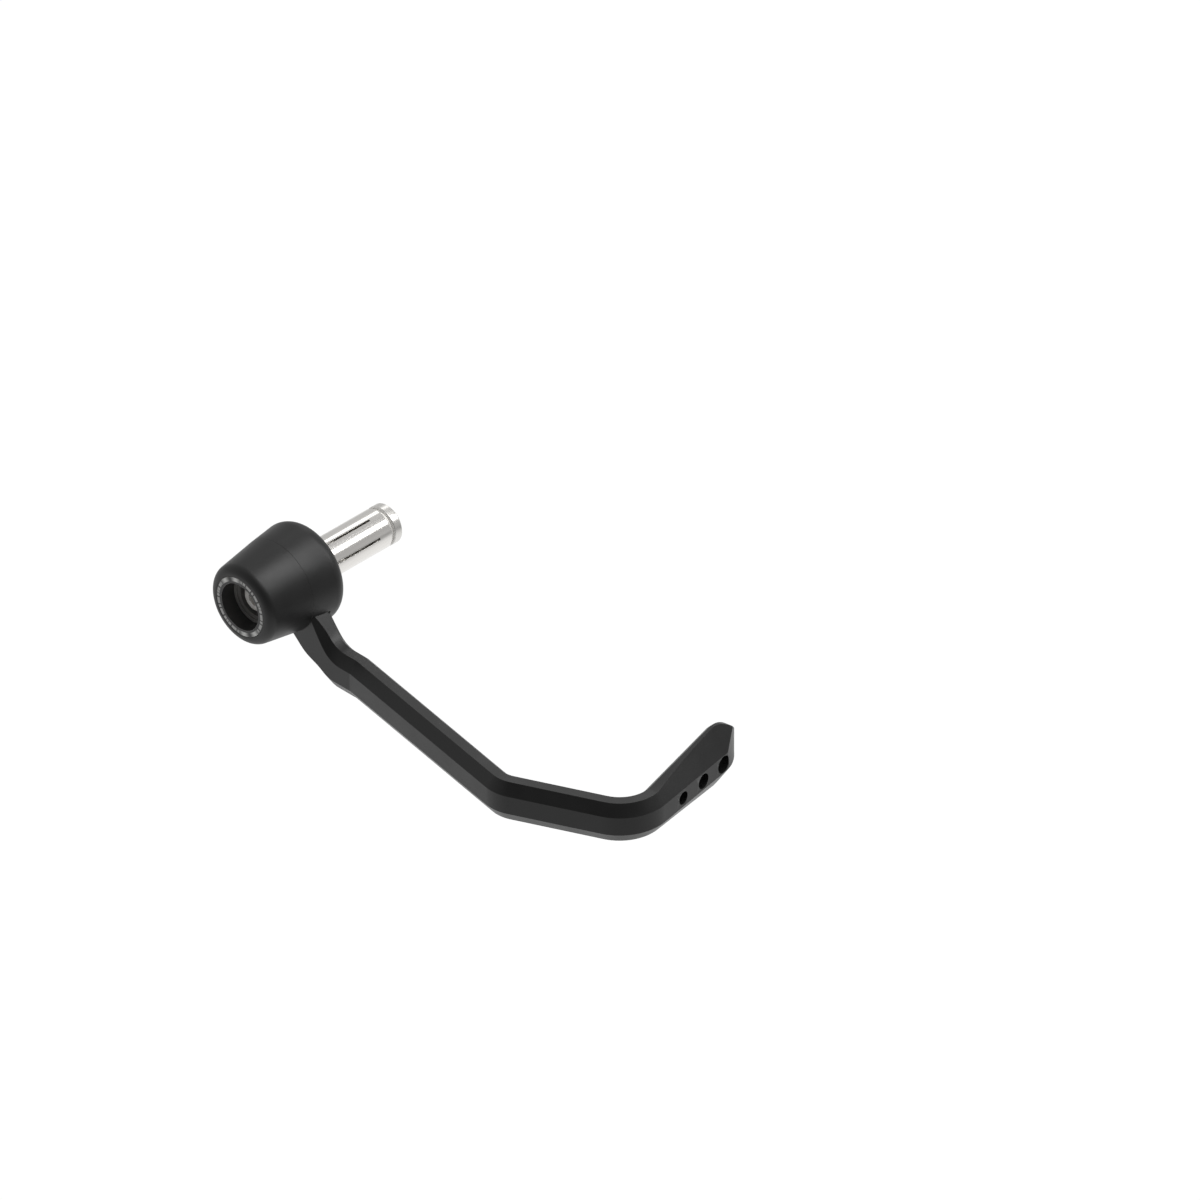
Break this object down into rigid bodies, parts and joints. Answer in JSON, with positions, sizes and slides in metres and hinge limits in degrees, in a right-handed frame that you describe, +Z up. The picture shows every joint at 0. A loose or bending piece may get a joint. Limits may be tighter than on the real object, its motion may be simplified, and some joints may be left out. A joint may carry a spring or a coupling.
{
  "type": "brake lever guard",
  "caption": "Curved lever guard blade held at the end of a handlebar by a two-part bobbin with an expanding sleeve, and a drilled, flared tip.",
  "frame": {"origin": "centre of the bobbin's inner face, on the axis of the handlebar's end, at the wide end of the cone that seats in the bar's mouth", "axes": "+X outward along the bar axis, +Y forward of the bar, +Z up when fitted"},
  "size_m": [0.0839, 0.1799, 0.0526],
  "materials": {
    "bobbin": "moulded matt black",
    "blade": "moulded matt black, glass filled",
    "bush": "black anodised",
    "fixings": "zinc plated",
    "core": "satin, as turned",
    "expander": "bright, as turned"
  },
  "bodies": {
    "root": {"nose_cone": "bobbin", "inner_bobbin": "bobbin", "guard_blade": "blade", "end_bush": "bush", "washer": "fixings", "clamp_bolt": "fixings", "flanged_core": "core", "expander_sleeve": "expander", "wedge_nut": "expander"}
  },
  "joints": []
}
